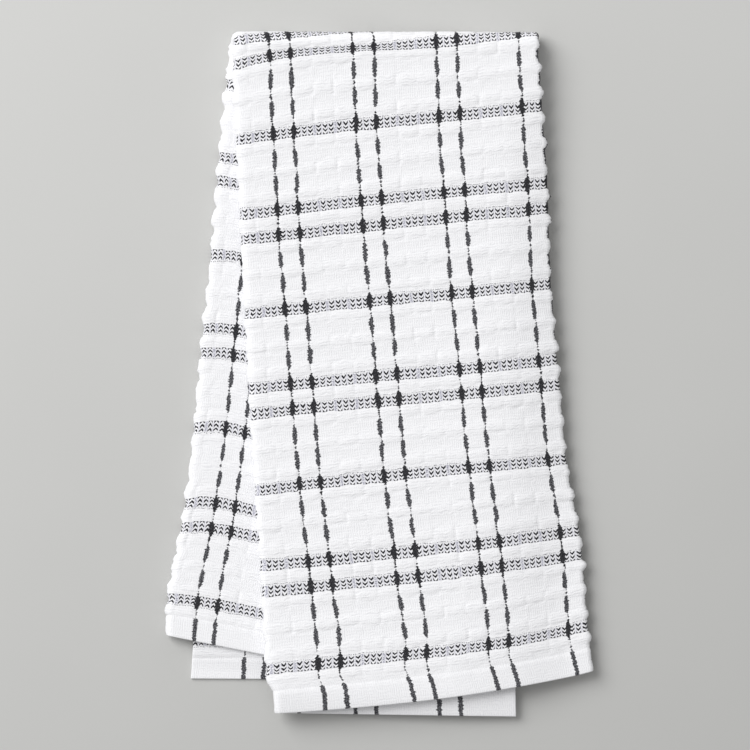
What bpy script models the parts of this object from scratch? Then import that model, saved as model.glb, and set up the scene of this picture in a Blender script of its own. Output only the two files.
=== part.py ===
"""A checked cotton tea towel, folded and laid flat. One length of cloth is folded along its length into three
panels, and the folded strip is then turned over on itself, so six layers lie on each other.

The cloth is measured flat: across runs from the selvedge of the inner panel to the selvedge of the other
turned-in panel, and along runs from the front hem, over the top turn, to the back hem. Metres, +Z up, +Y
towards the top turn, and the towel lies on z = 0 with its fair side up.
"""

import bmesh
import bpy
import numpy as np

# The cloth as it was woven and hemmed
CLOTH_WIDTH = 0.477
CLOTH_LENGTH = 0.713
THICKNESS = 0.0015
HEM_DEPTH = 0.013
FIRST_ROW = 0.0255
ROW_PITCH = 0.095 / 7
LAST_ROW = FIRST_ROW + 49 * ROW_PITCH

# The stack of layers
LAYER_PITCH = 0.0025
LEVEL_INNER = 0.5 * LAYER_PITCH
LEVEL_MIDDLE = 1.5 * LAYER_PITCH
LEVEL_OUTER = 2.5 * LAYER_PITCH
TURN_AXIS_Z = 0.5 * THICKNESS + LEVEL_OUTER
LEFT_FOLD_RADIUS = 0.5 * (LEVEL_OUTER - LEVEL_INNER)
RIGHT_FOLD_RADIUS = 0.5 * (LEVEL_OUTER - LEVEL_MIDDLE)
RIGHT_FOLD_ACROSS = 0.312

EDGES = ("inner_selvedge", "left_fold", "right_fold", "middle_selvedge")

# Where the left fold crosses the cloth: along, across
LEFT_FOLD_ACROSS = (
    (0.0000, 0.1388),
    (0.0730, 0.1394),
    (0.1205, 0.1400),
    (0.1680, 0.1420),
    (0.2155, 0.1432),
    (0.2630, 0.1443),
    (0.3105, 0.1441),
    (0.3380, 0.1439),
    (0.3620, 0.1456),
    (0.3840, 0.1476),
    (0.7130, 0.1479),
)

# The four long edges of the folded strip, seen from above: along, x, y.
# Each front run goes from the front hem up to the top turn, each back run from the turn to the back hem.
FRONT_RUNS = {
    "inner_selvedge": (
        (0.0000, 0.0743, -0.1853),
        (0.3510, 0.0637, 0.1780),
    ),
    "left_fold": (
        (0.0000, -0.0562, -0.1832),
        (0.0120, -0.0572, -0.1719),
        (0.0190, -0.0603, -0.1653),
        (0.0255, -0.0608, -0.1593),
        (0.0730, -0.0638, -0.1096),
        (0.1205, -0.0669, -0.0624),
        (0.1680, -0.0700, -0.0143),
        (0.2155, -0.0725, 0.0330),
        (0.2630, -0.0749, 0.0798),
        (0.3105, -0.0771, 0.1269),
        (0.3380, -0.0788, 0.1543),
        (0.3618, -0.0784, 0.1780),
    ),
    "right_fold": (
        (0.0000, 0.1165, -0.1607),
        (0.0255, 0.1132, -0.1354),
        (0.0730, 0.1096, -0.0906),
        (0.1205, 0.1015, -0.0454),
        (0.1680, 0.0975, 0.0016),
        (0.2155, 0.0934, 0.0491),
        (0.2630, 0.0918, 0.0968),
        (0.3105, 0.0886, 0.1453),
        (0.3436, 0.0863, 0.1780),
    ),
    "middle_selvedge": (
        (0.0000, -0.0459, -0.1669),
        (0.3500, -0.0743, 0.1780),
    ),
}
BACK_RUNS = {
    "inner_selvedge": (
        (0.3550, 0.0637, 0.1780),
        (0.7130, 0.0238, -0.1690),
    ),
    "left_fold": (
        (0.3836, -0.0807, 0.1780),
        (0.4055, -0.0832, 0.1566),
        (0.4530, -0.0875, 0.1104),
        (0.5005, -0.0914, 0.0637),
        (0.5480, -0.0963, 0.0173),
        (0.5955, -0.1006, -0.0302),
        (0.6430, -0.1064, -0.0775),
        (0.6905, -0.1148, -0.1220),
        (0.7130, -0.1153, -0.1415),
    ),
    "right_fold": (
        (0.3610, 0.0867, 0.1780),
        (0.7130, 0.0572, -0.1658),
    ),
    "middle_selvedge": (
        (0.3630, -0.0743, 0.1780),
        (0.5000, -0.0851, 0.0428),
        (0.6905, -0.1005, -0.1452),
        (0.7130, -0.1018, -0.1650),
    ),
}

# How far the front panel's threads stray from an even spread between its folds, a third and two thirds of the
# way across: along, then to the right at both places, then towards the turn at both
FRONT_STRAY = (
    (0.0000, 0.0022, 0.0010, -0.0018, -0.0018),
    (0.0130, 0.0021, 0.0003, -0.0008, -0.0022),
    (0.0255, 0.0030, 0.0015, 0.0001, -0.0026),
    (0.0730, 0.0012, 0.0012, -0.0009, -0.0009),
    (0.1205, -0.0005, 0.0027, 0.0005, 0.0005),
    (0.1680, 0.0006, 0.0022, 0.0004, 0.0000),
    (0.2155, 0.0011, 0.0014, 0.0003, -0.0001),
    (0.2630, 0.0006, 0.0002, 0.0004, 0.0004),
    (0.3105, 0.0000, -0.0004, 0.0011, -0.0004),
    (0.3330, 0.0000, 0.0000, 0.0019, -0.0006),
    (0.3547, 0.0000, 0.0003, 0.0037, -0.0012),
    (0.3618, 0.0000, 0.0006, 0.0005, -0.0003),
)
# the number that makes each of the two bumps 1 high
STRAY_PEAK = 6.75

# The same for the strip of the inner panel that shows behind, where it strays most this far in from its fold:
# along, to the right, towards the turn
BACK_STRAY = (
    (0.3836, 0.0000, 0.0000),
    (0.4530, -0.0003, 0.0010),
    (0.5005, -0.0005, 0.0023),
    (0.5480, 0.0004, 0.0027),
    (0.5955, 0.0010, 0.0038),
    (0.6430, 0.0013, 0.0033),
    (0.6905, 0.0013, 0.0014),
    (0.7130, 0.0000, 0.0000),
)
BACK_STRAY_REACH = 0.020

# Relief of the weave: every row of puffs stands up a little, and bulges out at the folds. Behind, only the
# strip that shows has it. The inner panel lies a little slack towards its selvedge.
ROW_RIB = 0.0008
BACK_ROW_RIB = 0.0004
VISIBLE_STRIP = 0.060
RIB_START = 0.008
LEFT_SCALLOP = 0.0011
BACK_LEFT_SCALLOP = 0.0018
RIGHT_SCALLOP = 0.0018
SCALLOP_REACH = 0.007
INNER_SLACK = 0.075
INNER_SLACK_CURVE = 6

# How the front layers sink past the back's right fold and hem, where there are no layers under them:
# where the slope starts, measured outwards from the fold or hem, and how wide it is. Past the fold the stiff
# edge sinks only a share of the way, past the hem all the way.
FOLD_SLOPE_START = -0.018
FOLD_SLOPE_WIDTH = 0.062
FOLD_SINK = 0.45
HEM_SLOPE_START = 0.004
HEM_SLOPE_WIDTH = 0.040
INNER_EDGE_SLOPE = 0.035
CORNER_SLOPE = 0.016
TURN_FADE = 0.080

# Grid lines: shares of the outer panel's flat width, which the two turned-in panels repeat above each other,
# and shares of each fold's half turn
PANEL_SHARES = np.array((0.14, 0.32, 0.48, 0.60, 0.70, 0.80, 0.90))
LEFT_FOLD_SHARES = np.array((-1.0, -0.5, 0.0, 0.5, 1.0))
RIGHT_FOLD_SHARES = np.array((-1.0, -0.33, 0.33, 1.0))
INNER_LINES = 5
TURN_ROWS_FROM = 0.338
TURN_ROWS_TO = 0.388
TURN_ROWS = 9
LEAD_ROWS = 2

CLOTH_COLOUR = (0.87, 0.87, 0.89, 1.0)
CLOTH_ROUGHNESS = 0.9


def clear_scene():
    for old in list(bpy.data.objects):
        bpy.data.objects.remove(old, do_unlink=True)


def smooth_step(x):
    """0 below 0, 1 above 1, and a soft S between them."""
    x = np.clip(x, 0.0, 1.0)
    return x * x * (3.0 - 2.0 * x)


def curve_through(table, column, x):
    """The table's column at x, on a cubic curve through all its rows."""
    rows = np.array(table)
    knots = rows[:, 0]
    values = rows[:, column]
    slopes = np.gradient(values, knots)
    i = np.clip(np.searchsorted(knots, x) - 1, 0, len(knots) - 2)
    gap = knots[i + 1] - knots[i]
    t = (x - knots[i]) / gap
    start = (1 + 2 * t) * (1 - t) ** 2 * values[i] + t * (1 - t) ** 2 * gap * slopes[i]
    end = t * t * (3 - 2 * t) * values[i + 1] - t * t * (1 - t) * gap * slopes[i + 1]
    return start + end


def edge_place(runs, edge, share):
    """Plan place on one long edge's run, at a share of the cloth length that the run takes."""
    table = runs[edge]
    along = table[0][0] + share * (table[-1][0] - table[0][0])
    x = curve_through(table, 1, along)
    y = curve_through(table, 2, along)
    if edge == "left_fold":
        x = x + 0.5 * THICKNESS
    if edge == "right_fold":
        x = x - 0.5 * THICKNESS
    return x, y


def fold_profile(offset, radius):
    """Distance in from a fold's outermost line, and height across it, for cloth bent round a half circle."""
    half_length = 0.5 * np.pi * radius
    angle = np.clip(offset, -half_length, half_length) / radius
    inward = radius * (1 - np.cos(angle)) + np.maximum(np.abs(offset) - half_length, 0.0)
    return inward, radius * np.sin(angle)


def row_wave(along):
    """1 on each row of puffs and -1 on each dashed row between them, as a cosine, and 0 in both hems."""
    woven = (along > HEM_DEPTH) & (along < CLOTH_LENGTH - HEM_DEPTH)
    return np.where(woven, -np.cos(2 * np.pi * (along - FIRST_ROW) / ROW_PITCH), 0.0)


def panel_places(near, far, share, along):
    """Plan place, turn angle and share of the front run, at a share of the way between two long edges."""
    turn_from = FRONT_RUNS[near][-1][0] * (1 - share) + FRONT_RUNS[far][-1][0] * share
    turn_to = BACK_RUNS[near][0][0] * (1 - share) + BACK_RUNS[far][0][0] * share
    front = np.clip(along / turn_from, 0.0, 1.0)
    back = np.clip((along - turn_to) / (CLOTH_LENGTH - turn_to), 0.0, 1.0)
    turned = np.clip((along - turn_from) / (turn_to - turn_from), 0.0, 1.0)
    places = []
    for runs, run_share in ((FRONT_RUNS, front), (BACK_RUNS, back)):
        near_x, near_y = edge_place(runs, near, run_share)
        far_x, far_y = edge_place(runs, far, run_share)
        places.append((near_x * (1 - share) + far_x * share, near_y * (1 - share) + far_y * share))
    over = smooth_step(turned)
    x = places[0][0] * (1 - over) + places[1][0] * over
    y = places[0][1] * (1 - over) + places[1][1] * over
    return x, y, np.pi * turned, front


def right_of(x, y, run):
    """Distance of a plan place to the right of the straight line along one run of a long edge."""
    x0, y0 = run[0][1:]
    x1, y1 = run[-1][1:]
    turned = (y1 - y0) * (x - x0) - (x1 - x0) * (y - y0)
    return turned / np.hypot(x1 - x0, y1 - y0) * np.sign(y1 - y0)


def below_hem(x, y, left_edge, right_edge):
    """Distance of a plan place past the back hem that joins two long edges."""
    x0, y0 = BACK_RUNS[left_edge][-1][1:]
    x1, y1 = BACK_RUNS[right_edge][-1][1:]
    return y0 + (x - x0) * (y1 - y0) / (x1 - x0) - y


def front_sink(x, y, above_inner):
    """How far a front layer lies below its full height, where the layers under it have ended."""
    past_fold = right_of(x, y, BACK_RUNS["right_fold"])
    past_hem = below_hem(x, y, "middle_selvedge", "right_fold")
    past_inner = right_of(x, y, FRONT_RUNS["inner_selvedge"])
    held_at_fold = 1.0 - FOLD_SINK * smooth_step((past_fold - FOLD_SLOPE_START) / FOLD_SLOPE_WIDTH)
    held_at_hem = 1.0 - smooth_step((past_hem - HEM_SLOPE_START) / HEM_SLOPE_WIDTH)
    depth = 3 * LAYER_PITCH * (1.0 - held_at_fold * held_at_hem)
    depth = depth + above_inner * LAYER_PITCH * smooth_step(past_inner / INNER_EDGE_SLOPE)
    turn_y = FRONT_RUNS["left_fold"][-1][2]
    return depth * smooth_step((turn_y - y) / TURN_FADE)


def corner_sink(x, y):
    """How far the middle panel's back corner lies below its layer, past the hem of the panel under it."""
    past = below_hem(x, y, "left_fold", "right_fold")
    return LAYER_PITCH * smooth_step(past / CORNER_SLOPE)


def front_stray(share, along):
    """How far the front panel's threads stray to the right and towards the turn: two soft bumps, one highest
    a third and one two thirds of the way across, and none at the folds."""
    near = STRAY_PEAK * share * (1.0 - share) ** 2
    far = STRAY_PEAK * share**2 * (1.0 - share)
    right = near * curve_through(FRONT_STRAY, 1, along) + far * curve_through(FRONT_STRAY, 2, along)
    up = near * curve_through(FRONT_STRAY, 3, along) + far * curve_through(FRONT_STRAY, 4, along)
    return right, up


def back_stray(from_fold, along):
    """How far the threads of the strip behind stray to the right and towards the turn: one bump that rises in
    a straight line from the fold and dies away."""
    depth = from_fold / BACK_STRAY_REACH
    bump = depth * np.exp(1.0 - depth)
    return bump * curve_through(BACK_STRAY, 1, along), bump * curve_through(BACK_STRAY, 2, along)


def folded_place(across, along):
    """Place in space of each point of the flat cloth, as arrays x, y and z of its middle surface."""
    left_across = curve_through(LEFT_FOLD_ACROSS, 1, along)
    left_in, left_height = fold_profile(across - left_across, LEFT_FOLD_RADIUS)
    right_in, right_height = fold_profile(across - RIGHT_FOLD_ACROSS, RIGHT_FOLD_RADIUS)
    in_inner = across < left_across
    in_middle = across > RIGHT_FOLD_ACROSS
    in_outer = ~(in_inner | in_middle)

    inner_width, _ = fold_profile(-left_across, LEFT_FOLD_RADIUS)
    middle_width, _ = fold_profile(CLOTH_WIDTH - RIGHT_FOLD_ACROSS, RIGHT_FOLD_RADIUS)
    outer_share = np.clip(left_in / (left_in + right_in), 0.0, 1.0)
    inner_share = np.clip(left_in / inner_width, 0.0, 1.0)
    middle_share = np.clip(right_in / middle_width, 0.0, 1.0)
    free_share = 1.0 - inner_share
    slack_share = 1.0 - (1 + INNER_SLACK) * free_share + INNER_SLACK * free_share**INNER_SLACK_CURVE
    inner_front_share = np.where(along < 0.5 * CLOTH_LENGTH, slack_share, inner_share)

    panels = (
        (in_inner, "left_fold", "inner_selvedge", inner_front_share),
        (in_outer, "left_fold", "right_fold", outer_share),
        (in_middle, "right_fold", "middle_selvedge", middle_share),
    )
    x = np.zeros_like(across)
    y = np.zeros_like(across)
    angle = np.zeros_like(across)
    front = np.zeros_like(across)
    for inside, near, far, share in panels:
        found = panel_places(near, far, share, along)
        for values, part in zip((x, y, angle, front), found):
            values[inside] = part[inside]

    turned_share = angle / np.pi
    on_front = 1.0 - smooth_step(turned_share)
    front_right, front_up = front_stray(outer_share, front * FRONT_STRAY[-1][0])
    back_right, back_up = back_stray(left_in, np.maximum(along, BACK_STRAY[0][0]))
    x = x + front_right * in_outer * on_front + back_right * in_inner * (1.0 - on_front)
    y = y + front_up * in_outer * on_front + back_up * in_inner * (1.0 - on_front)

    near_left = across < 0.5 * (left_across + RIGHT_FOLD_ACROSS)
    level_left = 0.5 * (LEVEL_INNER + LEVEL_OUTER) + left_height
    level_right = 0.5 * (LEVEL_MIDDLE + LEVEL_OUTER) - right_height
    level = np.where(near_left, level_left, level_right)

    wave = row_wave(along)
    clear = smooth_step(left_in / RIB_START) * smooth_step(right_in / RIB_START)
    level = level + np.where(in_outer, 0.5 * ROW_RIB * (1 + wave) * clear * on_front, 0.0)
    strip = smooth_step(left_in / RIB_START) * smooth_step((VISIBLE_STRIP - left_in) / RIB_START)
    level = level - np.where(in_inner, 0.5 * BACK_ROW_RIB * (1 + wave) * strip * (turned_share == 1.0), 0.0)

    halfway = 4 * turned_share * (1.0 - turned_share)
    still = 1.0 - smooth_step(2 * halfway)
    left_size = LEFT_SCALLOP * on_front + BACK_LEFT_SCALLOP * (1.0 - on_front)
    bulge = 0.5 * wave * still
    x = x - left_size * bulge * np.exp(-left_in / SCALLOP_REACH) * near_left
    x = x + RIGHT_SCALLOP * bulge * np.exp(-right_in / SCALLOP_REACH) * ~near_left

    y = y + level * np.sin(angle)
    z = TURN_AXIS_Z + level * np.cos(angle)
    above_inner = np.clip((level - LEVEL_INNER) / LAYER_PITCH, 0.0, 1.0)
    z = z - front_sink(x, y, above_inner) * on_front
    z = z - corner_sink(x, y) * (in_middle & (turned_share == 1.0))
    return x, y, z


def fixed_rows():
    """Weft lines of the grid away from the turn: one on each row of puffs, each dashed row and each hem."""
    half_rows = round(2 * (LAST_ROW - FIRST_ROW) / ROW_PITCH) + 3
    woven = FIRST_ROW - 0.5 * ROW_PITCH + 0.5 * ROW_PITCH * np.arange(half_rows)
    front_hem = np.array((0.0, 0.5 * HEM_DEPTH, HEM_DEPTH))
    back_hem = CLOTH_LENGTH - front_hem[1::-1]
    front = np.concatenate((front_hem, woven[woven < TURN_ROWS_FROM]))
    back = np.concatenate((woven[woven > TURN_ROWS_TO], back_hem))
    return front, back


def grid_columns(along):
    """Where the grid's warp lines lie on each weft line, so that the same line stays on each fold."""
    left = curve_through(LEFT_FOLD_ACROSS, 1, along)
    left_half = 0.5 * np.pi * LEFT_FOLD_RADIUS
    right_half = 0.5 * np.pi * RIGHT_FOLD_RADIUS
    outer_from = left + left_half
    outer_to = RIGHT_FOLD_ACROSS - right_half
    middle_from = RIGHT_FOLD_ACROSS + right_half
    outer_width = outer_to - outer_from
    columns = (
        0.0 * left,
        left - left_half - outer_width * PANEL_SHARES[INNER_LINES - 1 :: -1],
        left + left_half * LEFT_FOLD_SHARES,
        outer_from + outer_width * PANEL_SHARES,
        RIGHT_FOLD_ACROSS + right_half * RIGHT_FOLD_SHARES + 0.0 * left,
        middle_from + outer_width * (1.0 - PANEL_SHARES[::-1]),
        CLOTH_WIDTH + 0.0 * left,
    )
    return np.concatenate(columns, axis=1)


def turn_ends(across):
    """Along where the top turn starts and ends, on each warp line of the grid."""
    left_across = curve_through(LEFT_FOLD_ACROSS, 1, 0.5 * CLOTH_LENGTH)
    edges_across = (0.0, left_across, RIGHT_FOLD_ACROSS, CLOTH_WIDTH)
    starts = [FRONT_RUNS[edge][-1][0] for edge in EDGES]
    ends = [BACK_RUNS[edge][0][0] for edge in EDGES]
    return np.interp(across, edges_across, starts), np.interp(across, edges_across, ends)


def grid_lines():
    """Across and along of every grid point. In the turn the weft lines follow the turn's own angle."""
    front, back = fixed_rows()
    turn_columns = grid_columns(np.array([[0.5 * CLOTH_LENGTH]]))[0]
    starts, ends = turn_ends(turn_columns)
    rows = [np.full_like(starts, row) for row in front]
    lead = np.arange(1, LEAD_ROWS + 1) / (LEAD_ROWS + 1)
    rows += [front[-1] + (starts - front[-1]) * share for share in lead]
    rows += [starts + (ends - starts) * share for share in np.linspace(0.0, 1.0, TURN_ROWS)]
    rows += [ends + (back[0] - ends) * share for share in lead]
    rows += [np.full_like(starts, row) for row in back]
    along = np.array(rows)
    across = grid_columns(along.mean(axis=1, keepdims=True))
    return across, along


def make_cloth():
    across, along = grid_lines()
    x, y, z = folded_place(across, along)
    rows, columns = across.shape

    mesh = bpy.data.meshes.new("towel_cloth")
    grid = bmesh.new()
    bmesh.ops.create_grid(grid, x_segments=columns - 1, y_segments=rows - 1, size=1.0)
    for corner in grid.verts:
        column = round((corner.co.x + 1) / 2 * (columns - 1))
        row = round((corner.co.y + 1) / 2 * (rows - 1))
        corner.co = (x[row, column], y[row, column], z[row, column])
    grid.to_mesh(mesh)
    grid.free()
    mesh.shade_smooth()

    cloth = bpy.data.objects.new("towel_cloth", mesh)
    shell = cloth.modifiers.new("thickness", "SOLIDIFY")
    shell.thickness = THICKNESS
    shell.offset = 0.0
    return cloth


def cotton():
    material = bpy.data.materials.new("white_cotton")
    material.use_nodes = True
    surface = material.node_tree.nodes["Principled BSDF"]
    surface.inputs["Base Color"].default_value = CLOTH_COLOUR
    surface.inputs["Roughness"].default_value = CLOTH_ROUGHNESS
    surface.inputs["Metallic"].default_value = 0.0
    material.diffuse_color = CLOTH_COLOUR
    return material


def centre_on_base(cloth):
    """Moves the towel so that the middle of its outline is at x = 0, y = 0. It already stands on z = 0."""
    bpy.context.view_layer.update()
    whole = cloth.evaluated_get(bpy.context.evaluated_depsgraph_get())
    corners = np.array(whole.bound_box)
    middle = 0.5 * (corners.min(axis=0) + corners.max(axis=0))
    cloth.location = (-middle[0], -middle[1], 0.0)


def main():
    clear_scene()
    towel = bpy.data.collections.new("tea_towel")
    bpy.context.scene.collection.children.link(towel)
    cloth = make_cloth()
    cloth.data.materials.append(cotton())
    towel.objects.link(cloth)
    centre_on_base(cloth)


main()
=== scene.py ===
"""The looks of a checked cotton tea towel, folded and laid flat: one closed sheet of cloth on the folds of
its solid, with the relief of its weave in the mesh, and the stripes, bands and yarns in its material.

Metres, +Z up, +Y towards the top turn. The cloth is measured flat: across runs from the selvedge of the
inner panel to the other selvedge, and along runs from the front hem, over the top turn, to the back hem.
"""

import bpy
import numpy as np
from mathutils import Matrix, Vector


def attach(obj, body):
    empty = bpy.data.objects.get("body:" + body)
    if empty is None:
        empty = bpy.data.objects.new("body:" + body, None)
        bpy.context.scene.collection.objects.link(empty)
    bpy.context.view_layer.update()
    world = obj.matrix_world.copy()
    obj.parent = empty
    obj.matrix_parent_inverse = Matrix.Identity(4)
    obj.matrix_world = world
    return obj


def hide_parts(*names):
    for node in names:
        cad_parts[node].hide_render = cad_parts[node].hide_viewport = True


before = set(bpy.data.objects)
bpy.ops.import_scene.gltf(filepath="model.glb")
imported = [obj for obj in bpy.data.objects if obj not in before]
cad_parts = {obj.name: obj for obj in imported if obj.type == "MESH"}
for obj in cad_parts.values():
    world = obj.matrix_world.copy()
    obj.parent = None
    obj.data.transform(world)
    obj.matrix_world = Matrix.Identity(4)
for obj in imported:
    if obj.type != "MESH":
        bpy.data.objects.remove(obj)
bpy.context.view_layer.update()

# The cloth as it was woven and hemmed
CLOTH_WIDTH = 0.477
CLOTH_LENGTH = 0.713
THICKNESS = 0.0015
REST_LEVEL = 0.00005
HEM_DEPTH = 0.013
MODULE = 0.0113
FIRST_STRIPE = 0.0295
FIRST_ROW = 0.0255
ROW_PITCH = 0.095 / 7

# The stack of layers
LAYER_PITCH = 0.0025
LEVEL_INNER = 0.5 * LAYER_PITCH
LEVEL_MIDDLE = 1.5 * LAYER_PITCH
LEVEL_OUTER = 2.5 * LAYER_PITCH
TURN_AXIS_Z = 0.5 * THICKNESS + LEVEL_OUTER
LEFT_FOLD_RADIUS = 0.5 * (LEVEL_OUTER - LEVEL_INNER)
RIGHT_FOLD_RADIUS = 0.5 * (LEVEL_OUTER - LEVEL_MIDDLE)
RIGHT_FOLD_ACROSS = 0.312

# The solid stands with the middle of its base on the origin, this far from where its edges were measured
PLAN_SHIFT = (-0.00012, -0.00002)

# Where the left fold crosses the cloth: along, across
LEFT_FOLD_ACROSS = (
    (0.0000, 0.1388),
    (0.0730, 0.1394),
    (0.1205, 0.1400),
    (0.1680, 0.1420),
    (0.2155, 0.1432),
    (0.2630, 0.1443),
    (0.3105, 0.1441),
    (0.3380, 0.1439),
    (0.3620, 0.1456),
    (0.3840, 0.1476),
    (0.7130, 0.1479),
)

# The four long edges of the folded strip, seen from above: along, x, y.
# Each front run goes from the front hem up to the top turn, each back run from the turn to the back hem.
FRONT_RUNS = {
    "inner_selvedge": (
        (0.0000, 0.0743, -0.1853),
        (0.3510, 0.0637, 0.1780),
    ),
    "left_fold": (
        (0.0000, -0.0562, -0.1832),
        (0.0120, -0.0572, -0.1719),
        (0.0190, -0.0603, -0.1653),
        (0.0255, -0.0608, -0.1593),
        (0.0730, -0.0638, -0.1096),
        (0.1205, -0.0669, -0.0624),
        (0.1680, -0.0700, -0.0143),
        (0.2155, -0.0725, 0.0330),
        (0.2630, -0.0749, 0.0798),
        (0.3105, -0.0771, 0.1269),
        (0.3380, -0.0788, 0.1543),
        (0.3618, -0.0784, 0.1780),
    ),
    "right_fold": (
        (0.0000, 0.1165, -0.1607),
        (0.0255, 0.1132, -0.1354),
        (0.0730, 0.1096, -0.0906),
        (0.1205, 0.1015, -0.0454),
        (0.1680, 0.0975, 0.0016),
        (0.2155, 0.0934, 0.0491),
        (0.2630, 0.0918, 0.0968),
        (0.3105, 0.0886, 0.1453),
        (0.3436, 0.0863, 0.1780),
    ),
    "middle_selvedge": (
        (0.0000, -0.0459, -0.1669),
        (0.3500, -0.0743, 0.1780),
    ),
}
BACK_RUNS = {
    "inner_selvedge": (
        (0.3550, 0.0637, 0.1780),
        (0.7130, 0.0238, -0.1690),
    ),
    "left_fold": (
        (0.3836, -0.0807, 0.1780),
        (0.4055, -0.0832, 0.1566),
        (0.4530, -0.0875, 0.1104),
        (0.5005, -0.0914, 0.0637),
        (0.5480, -0.0963, 0.0173),
        (0.5955, -0.1006, -0.0302),
        (0.6430, -0.1064, -0.0775),
        (0.6905, -0.1148, -0.1220),
        (0.7130, -0.1153, -0.1415),
    ),
    "right_fold": (
        (0.3610, 0.0867, 0.1780),
        (0.7130, 0.0572, -0.1658),
    ),
    "middle_selvedge": (
        (0.3630, -0.0743, 0.1780),
        (0.5000, -0.0851, 0.0428),
        (0.6905, -0.1005, -0.1452),
        (0.7130, -0.1018, -0.1650),
    ),
}

# How far the front panel's threads stray from an even spread between its folds, a third and two thirds of
# the way across: along, then to the right at both places, then towards the turn at both
FRONT_STRAY = (
    (0.0000, 0.0022, 0.0010, -0.0018, -0.0018),
    (0.0130, 0.0021, 0.0003, -0.0008, -0.0022),
    (0.0255, 0.0030, 0.0015, 0.0001, -0.0026),
    (0.0730, 0.0012, 0.0012, -0.0009, -0.0009),
    (0.1205, -0.0005, 0.0027, 0.0005, 0.0005),
    (0.1680, 0.0006, 0.0022, 0.0004, 0.0000),
    (0.2155, 0.0011, 0.0014, 0.0003, -0.0001),
    (0.2630, 0.0006, 0.0002, 0.0004, 0.0004),
    (0.3105, 0.0000, -0.0004, 0.0011, -0.0004),
    (0.3330, 0.0000, 0.0000, 0.0019, -0.0006),
    (0.3547, 0.0000, 0.0003, 0.0037, -0.0012),
    (0.3618, 0.0000, 0.0006, 0.0005, -0.0003),
)
# the number that makes each of the two bumps 1 high
STRAY_PEAK = 6.75

# The same for the strip of the inner panel that shows behind: along, to the right, towards the turn
BACK_STRAY = (
    (0.3836, 0.0000, 0.0000),
    (0.4530, -0.0003, 0.0010),
    (0.5005, -0.0005, 0.0023),
    (0.5480, 0.0004, 0.0027),
    (0.5955, 0.0010, 0.0038),
    (0.6430, 0.0013, 0.0033),
    (0.6905, 0.0013, 0.0014),
    (0.7130, 0.0000, 0.0000),
)
# how far in from its fold the strip strays most
BACK_STRAY_REACH = 0.020

# How the front layers sink past the back's right fold and hem, where the layers under them end: where the
# slope starts, measured outwards from the fold or hem, and how wide it is. Past the fold the stiff edge sinks
# only a share of the way, past the hem all the way.
LAYERS_BEHIND = 3
FOLD_SLOPE_START = -0.018
FOLD_SLOPE_WIDTH = 0.062
FOLD_SINK = 0.45
HEM_SLOPE_START = 0.004
HEM_SLOPE_WIDTH = 0.040
INNER_EDGE_SLOPE = 0.035
CORNER_SLOPE = 0.016
TURN_FADE = 0.080
INNER_SLACK = 0.075
INNER_SLACK_CURVE = 6

# The front hem leans to the right, from this share of the panel's width on, but not at the fold itself
HEM_LEAN = 0.0026
HEM_LEAN_DEPTH = 0.024
HEM_LEAN_FROM = 0.1
HEM_LEAN_WIDTH = 0.5
HEM_LEAN_END = 24

# Relief of the weave: rows of puffs between the flat dashed rows, which also bulge out at the folds
ROW_RIB = 0.0003
RIB_START = 0.008
LEFT_SCALLOP = 0.0011
BACK_LEFT_SCALLOP = 0.0018
RIGHT_SCALLOP = 0.0018
SCALLOP_REACH = 0.007
NOTCH_CURVE = 1.1
BUMP_TOP = 0.9
BUMP_FOOT = -0.7
BLUNTNESS = 0.7
RAGGEDNESS = 0.32
RAGGED_EVENLY = 0.75
RAGGED_ON_PUFFS = 0.5
YARN_SPACING = 0.0008
YARN_POINTS = 1400
FOLD_ROLL = 0.0013
FOLD_ROLL_TOP = 0.0
FOLD_ROLL_FROM = 0.150
FOLD_ROLL_TO = 0.230
FOLD_ROLL_WIDTH = 0.004
PUFF_HEIGHT = 0.00021
CREASE_DEPTH = 0.00032
CREASE_WIDTH = 0.0006
SIDE_CREASE_WIDTH = 0.0006
LEAST_LOWER_CREASE = 0.25
SIDE_FALL = 0.75
SIDE_FALL_WIDTH = 0.00096
PUFF_FROM = 0.26
PUFF_TO = 0.76
PUFF_EDGE = 0.05
CREASE_BOW = 0.0010
CREASE_SHIFT = 0.0009
CREASE_WANDER = 0.0003
SIDE_WANDER = 0.0005
# shares of a row's pitch where each crease starts to wander, wanders most, and stops
LOWER_WANDER = (0.04, PUFF_FROM, 0.60)
UPPER_WANDER = (0.45, PUFF_TO, 0.97)
MIDDLE_WANDER = (0.10, 0.5, 0.90)
SIDE_WANDER_REACH = 0.45
HEM_RAISE = 0.00025
YARN_ROUGHNESS = 0.00011
STITCH_DEPTH = 0.0004
STITCH_WIDTH = 0.0005
WEAVE_EDGE = 0.0015
PUCKER_HEIGHT = 0.0002
PUCKER_REACH = 0.004
PUCKER_SPACING = 0.0024
PUCKER_POINTS = 220
HIDDEN_RELIEF = 0.4
# on the table the weave is drawn in, so that the tops of its puffs touch it
DRAWN_IN_UNDER = 1.2 * PUFF_HEIGHT
# share of the cloth's thickness that is left at its very edge
EDGE_SHARE = 0.35

# Chance: one random number for each puff of the weave, from a seed, lowest and highest
PUFF_CHANCES = {
    "lower_wander": (12, -1.0, 1.0),
    "upper_wander": (13, -1.0, 1.0),
    "side_wander": (14, -1.0, 1.0),
    "puff_height": (15, 0.6, 1.2),
    "lower_crease": (16, 0.0, 1.0),
    "upper_crease": (17, 0.0, 1.0),
    "side_crease": (18, 0.0, 1.0),
    "lower_shift": (24, -0.6, 1.0),
    "upper_shift": (25, -0.6, 1.0),
}
CELL_COUNT = 60
CELLS_BEFORE = 5
ROW_BULGES = (0.45, 1.35)
LEFT_BULGE_SEED = 19
RIGHT_BULGE_SEED = 20
PUCKER_SEED = 23
YARN_SEED = 11

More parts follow.
